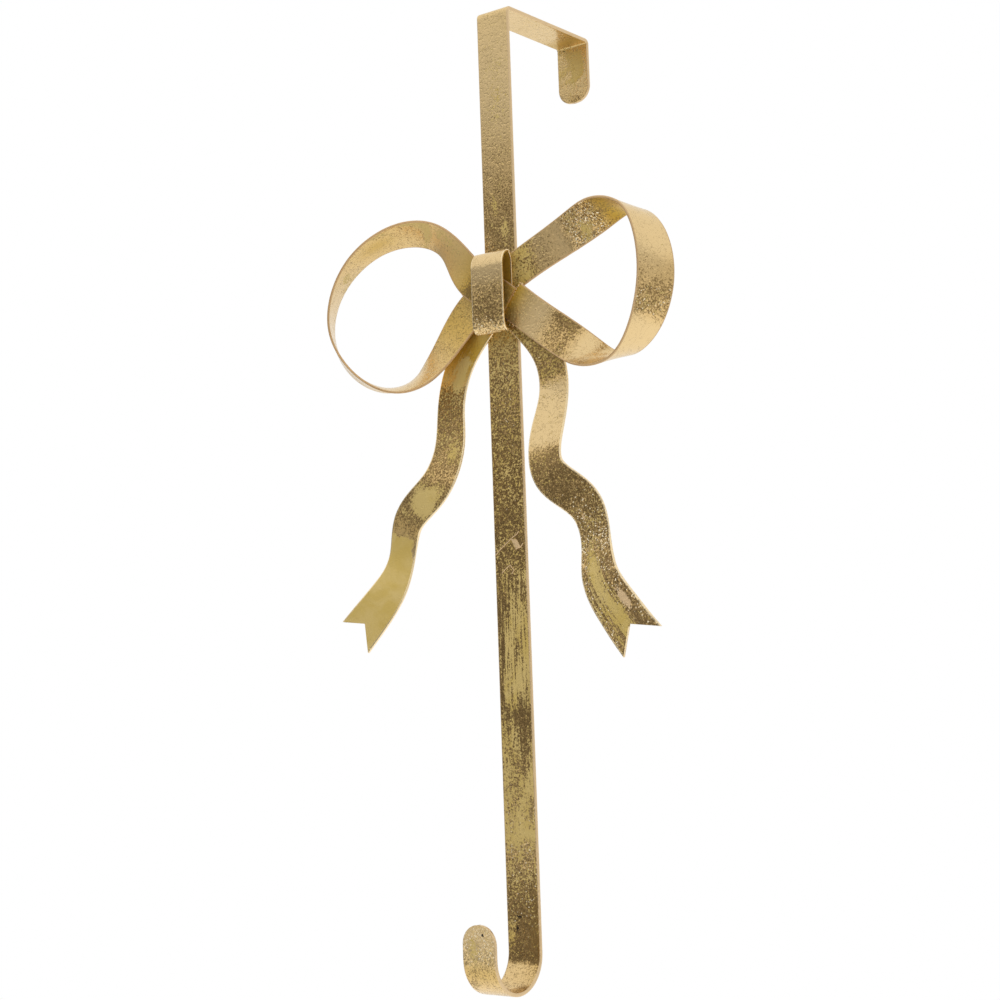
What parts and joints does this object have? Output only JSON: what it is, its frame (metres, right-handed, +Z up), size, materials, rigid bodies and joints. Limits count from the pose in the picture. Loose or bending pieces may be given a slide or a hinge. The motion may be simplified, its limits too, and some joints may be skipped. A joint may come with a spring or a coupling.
{
  "type": "wreath hanger",
  "caption": "Over-door wreath hanger: flat strap with a square door hook, an upturned hook at the foot and a ribbon bow with forked tails.",
  "frame": {"origin": "middle of the underside of the top plate, where the hanger sits on the top edge of a door", "axes": "+Z up, -Y to the front where the bow is, +X to the right as seen from the front"},
  "size_m": [0.1569, 0.0775, 0.355],
  "materials": {
    "gilt_strap": "worn gold leaf over iron",
    "gilt_ribbon": "worn gold leaf over iron"
  },
  "bodies": {
    "root": {"hanger_strap": "gilt_strap", "bow_loop_left": "gilt_ribbon", "bow_loop_right": "gilt_ribbon", "bow_tail_left": "gilt_ribbon", "bow_tail_right": "gilt_ribbon", "bow_knot_band": "gilt_ribbon"}
  },
  "joints": []
}
